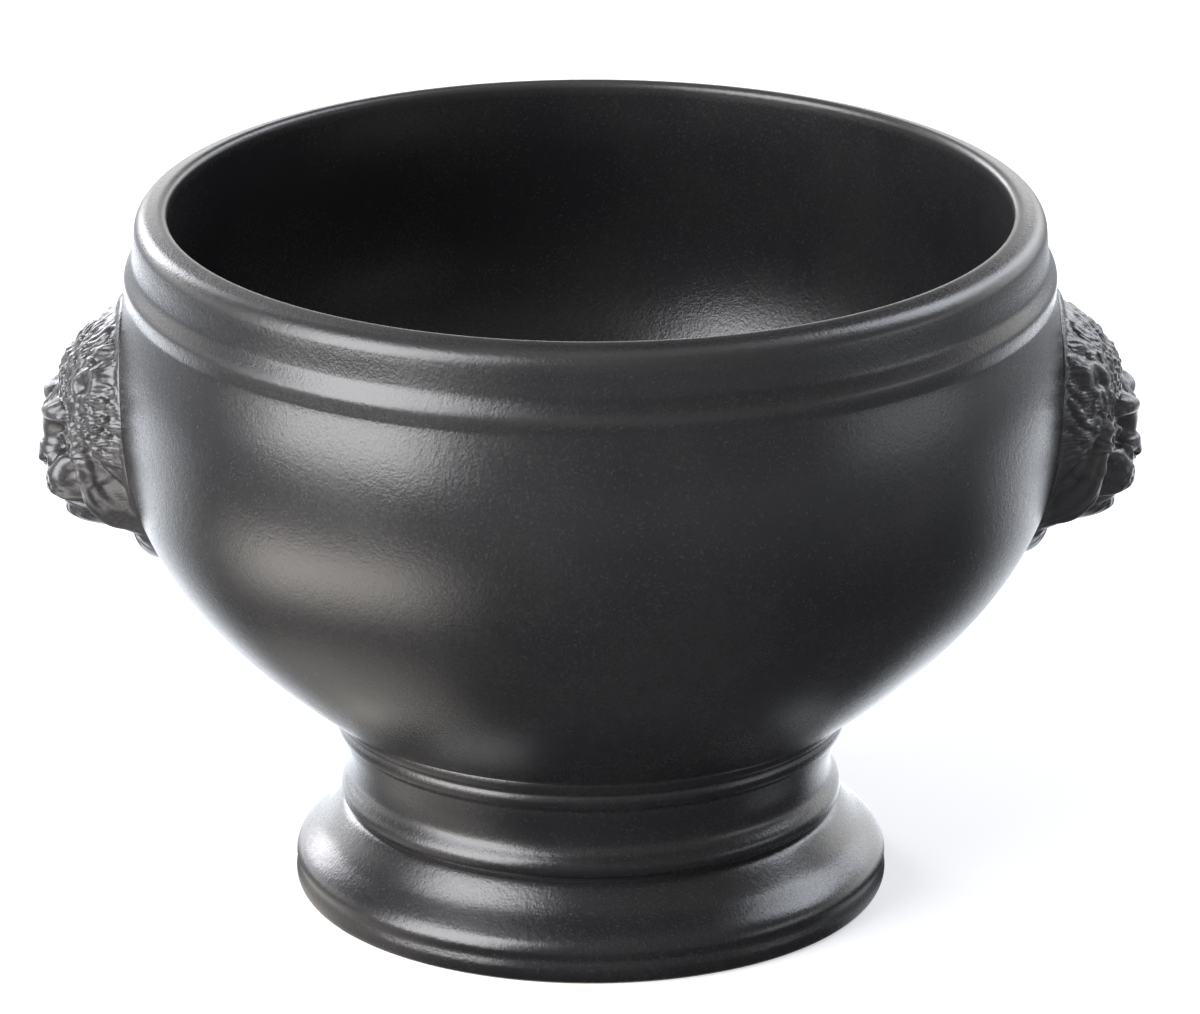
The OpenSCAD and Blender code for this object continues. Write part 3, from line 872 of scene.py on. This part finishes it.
at_foot = total(tree, pool(tree, away, 0.036, 0.050, 0.005),
                total(tree, total(tree, pool(tree, turn, -88.0, -64.0, 8.0), 0.5, kind="MULTIPLY"),
                      total(tree, pool(tree, turn, 60.0, 82.0, 8.0), 0.45, kind="MULTIPLY")),
                kind="MULTIPLY")
front = spread(tree, away, 0.12, 0.34, 0.08, 0.38)
# Painted light: the sum of the pools is an emission on the sheet, not light from the lamps.
painted_pools = total(tree, behind_left, behind_right, window_near, window_mid, beside_foot, at_foot, front)
fibre = noise(tree, place, 400.0, 3.0)
pale = tint(tree, fibre, (0.66, 0.66, 0.665, 1), (0.69, 0.69, 0.695, 1))
matt = add(tree, "ShaderNodeBsdfDiffuse", Color=pale)
seen = spread(tree, away, 0.5, 1.4, 0.36, 1.0)
lift = add(tree, "ShaderNodeEmission", Color=(1, 1, 1, 1), Strength=by_ray(tree, seen, 0.0, 0.0))
sheet = add(tree, "ShaderNodeAddShader", _0=matt.outputs[0], _1=lift.outputs[0])
# Painted light colour: the painted pools are warm at the low left and cool elsewhere.
low_left = total(tree, pool(tree, turn, -100.0, -10.0, 20.0), spread(tree, away, 0.20, 0.30, 1.0, 0.35),
                 kind="MULTIPLY")
warmth = tint(tree, low_left, (0.90, 0.94, 1.0, 1), (1.0, 0.95, 0.89, 1))
painted_glow = add(tree, "ShaderNodeEmission", Color=warmth, Strength=painted_pools)
# The painted pools show only to glossy rays. Every other ray sees the plain lit sheet.
glossy = add(tree, "ShaderNodeLightPath").outputs["Is Glossy Ray"]
either = add(tree, "ShaderNodeMixShader", _0=glossy, _1=sheet.outputs[0], _2=painted_glow.outputs[0])
add(tree, "ShaderNodeOutputMaterial", Surface=either.outputs[0])

bm = bmesh.new()
bmesh.ops.create_grid(bm, x_segments=2, y_segments=2, size=3.0)
floor = finished("floor", bm)
floor.data.materials.append(paper)

# %% World
world = bpy.data.worlds.new("studio")
bpy.context.scene.world = world
world.use_nodes = True
tree = world.node_tree
tree.nodes.clear()
way = add(tree, "ShaderNodeTexCoord").outputs["Generated"]
turn, parts = compass(tree, way)
around = add(tree, "ShaderNodeMath", {"operation": "ABSOLUTE"}, _0=turn).outputs[0]
overhead = spread(tree, parts[2], 0.84, 0.97, 0.0, 0.4)
horizon = total(tree, pool(tree, around, 112.0, 200.0, 22.0), spread(tree, parts[2], 0.28, 0.40, 2.3, 0.0),
                kind="MULTIPLY")
dim_back = spread(tree, around, 90.0, 125.0, 0.2, 0.07)
above_left = total(tree, pool(tree, turn, -170.0, -140.0, 9.0), pool(tree, parts[2], 0.52, 0.76, 0.07), 1.1,
                   kind="MULTIPLY")
room = total(tree, overhead, horizon, dim_back, above_left)
sky = add(tree, "ShaderNodeBackground", Color=(1, 1, 1, 1), Strength=by_ray(tree, 1.0, room, 0.5))
add(tree, "ShaderNodeOutputWorld", Surface=sky.outputs[0])
bpy.context.scene.view_settings.view_transform = "Standard"

# %% [markdown]
# ## Light
# A satin black pot shows its lamps as broad soft glows, so each lamp is placed
# by the glow that it makes. A tall window stands to the left: it lights the
# mouldings of the foot and the inside of the bowl across from it. A low strip
# under it, the sill, reaches the steep belly. To the right are a cooler panel
# and a weak low strip. A lamp stands behind on each side, for the rim and the
# edges of the heads. Each lamp has a compass angle, a rise above the table and
# a distance, then its width, height and power in watts, and its colour.

# %% Lamps
lamp_aim = Vector((0, 0, 0.06))


def soft_lamp(name, turn, rise, away, width, height, power, colour):
    lamp = bpy.data.lights.new(name, "AREA")
    lamp.shape = "RECTANGLE"
    lamp.size = width
    lamp.size_y = height
    lamp.energy = power
    lamp.color = colour
    stand = bpy.data.objects.new(name, lamp)
    turn, rise = math.radians(turn), math.radians(rise)
    way = Vector((math.sin(turn) * math.cos(rise), -math.cos(turn) * math.cos(rise), math.sin(rise)))
    stand.location = lamp_aim + way * away
    stand.rotation_euler = (-way).to_track_quat("-Z", "Y").to_euler()
    stand.visible_camera = False
    bpy.context.collection.objects.link(stand)
    print(name, "radiance", round(power / (math.pi * width * height), 2))


soft_lamp("window left", -58, 29, 1.1, 0.90, 0.85, 23.0, (0.975, 0.965, 1.0))
soft_lamp("window sill left", -60, 2.7, 1.1, 0.90, 0.21, 5.5, (1.0, 0.99, 0.98))
soft_lamp("low panel right", 78, 3.5, 1.1, 0.60, 0.20, 0.8, (0.90, 0.94, 1.0))
soft_lamp("panel right", 116, 42, 1.1, 0.60, 0.60, 7.0, (0.88, 0.92, 1.0))
soft_lamp("lamp behind left", -146, 20, 1.2, 0.40, 0.50, 6.0, (0.94, 0.94, 1.0))
soft_lamp("lamp behind right", 142, 24, 1.2, 0.40, 0.50, 2.0, (0.88, 0.92, 1.0))
